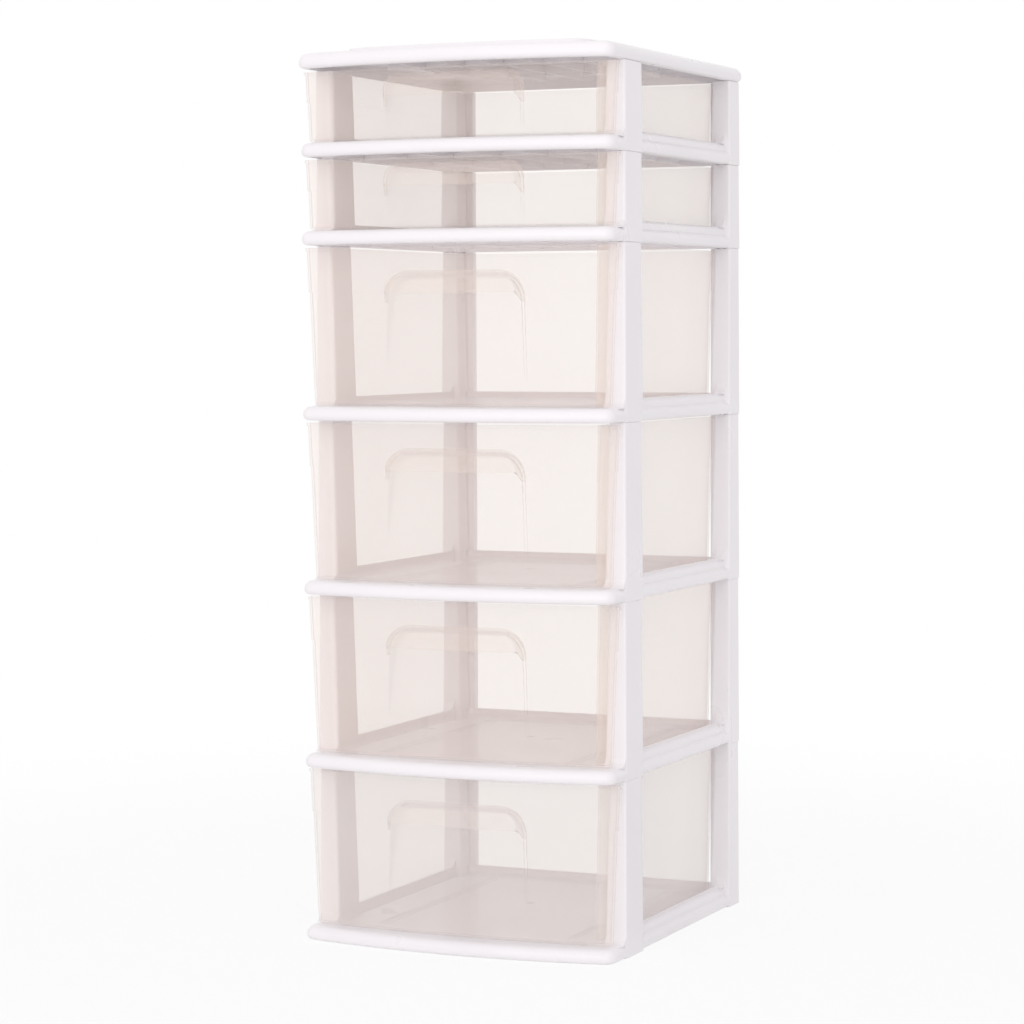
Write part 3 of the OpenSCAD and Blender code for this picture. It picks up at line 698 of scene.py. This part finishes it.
studio = {
    "floorHalf": 9.0, "floorColour": (0.93, 0.93, 0.93), "floorRoughness": 0.8,
    "floorGlow": 0.86, "glowFrom": 0.45, "glowTo": 1.5,  # the floor's own white, near the object and far off
    "worldColour": (0.985, 0.955, 0.985), "worldStrength": 0.75,
    "lampAim": (0.0, 0.0, 0.42), "seenBy": ["Is Camera Ray", "Is Glossy Ray", "Is Transmission Ray"],
}


# A flat square. Its white grows with the distance from the object's middle, for the rays that show it
def buildFloor():
    edge = np.linspace(-studio["floorHalf"], studio["floorHalf"], 3)
    vertices, faces = gridPart(pointsOf(edge[None, :], edge[:, None], 0.0))
    mesh = bpy.data.meshes.new("floor")
    mesh.from_pydata(vertices, [], faces)
    floor = bpy.data.objects.new("floor", mesh)
    scene.collection.objects.link(floor)
    material = bpy.data.materials.new("paleFloor")
    material.use_nodes = True
    tree = material.node_tree
    shader = tree.nodes["Principled BSDF"]
    shader.inputs["Base Color"].default_value = (*studio["floorColour"], 1)
    shader.inputs["Roughness"].default_value = studio["floorRoughness"]
    place = tree.nodes.new("ShaderNodeTexCoord")
    away = addNode(tree, "ShaderNodeVectorMath", {0: place.outputs["Object"]}, operation="LENGTH")
    grow = addNode(tree, "ShaderNodeMapRange", {
        "From Min": studio["glowFrom"], "From Max": studio["glowTo"], "To Min": studio["floorGlow"],
        "Value": away.outputs["Value"]}, interpolation_type="SMOOTHSTEP")
    share = addNode(tree, "ShaderNodeMath", {
        0: rayShare(tree, studio["seenBy"]), 1: grow.outputs["Result"]}, operation="MULTIPLY")
    glow = tree.nodes.new("ShaderNodeEmission")
    mix = addNode(tree, "ShaderNodeMixShader", {
        "Fac": share.outputs["Value"], 1: shader.outputs["BSDF"], 2: glow.outputs["Emission"]})
    tree.links.new(mix.outputs["Shader"], tree.nodes["Material Output"].inputs["Surface"])
    mesh.materials.append(material)


# Plain white for the rays that show the background, and a soft light of its own strength for the rest
def buildWorld():
    world = bpy.data.worlds.new("studio")
    world.use_nodes = True
    tree = world.node_tree
    soft = tree.nodes["Background"]
    soft.inputs["Color"].default_value = (*studio["worldColour"], 1)
    soft.inputs["Strength"].default_value = studio["worldStrength"]
    seen = addNode(tree, "ShaderNodeBackground", {"Color": (1, 1, 1, 1), "Strength": 1.0})
    mix = addNode(tree, "ShaderNodeMixShader", {
        "Fac": rayShare(tree, studio["seenBy"]), 1: soft.outputs["Background"],
        2: seen.outputs["Background"]})
    tree.links.new(mix.outputs["Shader"], tree.nodes["World Output"].inputs["Surface"])
    scene.world = world


lamps = {
    "front": {"place": (0.5, -3.3, 1.2), "size": 3.2, "power": 32.0, "colour": (1.0, 0.985, 0.985)},
    "top": {"place": (0.0, -1.0, 3.4), "size": 2.8, "power": 8.0, "colour": (1.0, 0.99, 0.99)},
}


# An object put at a place, with its right, up and back directions as the columns of its matrix
def placeByAxes(thing, right, up, back, place):
    scene.collection.objects.link(thing)
    columns = np.stack([right, up, back], 1).tolist()
    thing.matrix_world = Matrix([[*row, p] for row, p in zip(columns, place)] + [[0, 0, 0, 1]])


# An area light turned to face the aim point: its right is level, and its up is back times right
def buildLamp(name, lamp):
    light = bpy.data.lights.new(name, "AREA")
    light.shape = "SQUARE"
    light.size = lamp["size"]
    light.energy = lamp["power"]
    light.color = lamp["colour"]
    back = np.array(lamp["place"]) - np.array(studio["lampAim"])
    back /= np.linalg.norm(back)
    right = np.cross([0, 0, 1], back)
    right /= np.linalg.norm(right)
    placeByAxes(bpy.data.objects.new(name, light), right, np.cross(back, right), back, lamp["place"])


camera = {
    "place": (1.1812, -2.6849, 0.5684), "yaw": 23.962, "pitch": 3.423, "roll": -0.2,
    "focalPixels": 3094.1, "framePixels": 1024, "sensor": 36.0, "clipEnd": 60.0,
}


# Yaw turns the view about the upright, pitch tips it down, and roll turns it about the line of sight.
# The lens is the focal length in pixels over the frame's, times the sensor
def buildCamera():
    yaw, pitch, roll = [math.radians(camera[k]) for k in ("yaw", "pitch", "roll")]
    ahead = np.array([-math.sin(yaw) * math.cos(pitch), math.cos(yaw) * math.cos(pitch), -math.sin(pitch)])
    level = np.array([math.cos(yaw), math.sin(yaw), 0.0])
    upright = np.cross(level, ahead)
    right = level * math.cos(roll) + upright * math.sin(roll)
    up = upright * math.cos(roll) - level * math.sin(roll)
    data = bpy.data.cameras.new("camera")
    data.sensor_width = camera["sensor"]
    data.lens = camera["focalPixels"] / camera["framePixels"] * camera["sensor"]
    data.clip_end = camera["clipEnd"]
    scene.camera = bpy.data.objects.new("camera", data)
    placeByAxes(scene.camera, right, up, -ahead, camera["place"])


buildFloor()
buildWorld()
for lampName, lamp in lamps.items():
    buildLamp(lampName, lamp)
buildCamera()
print("floor, light and camera placed")
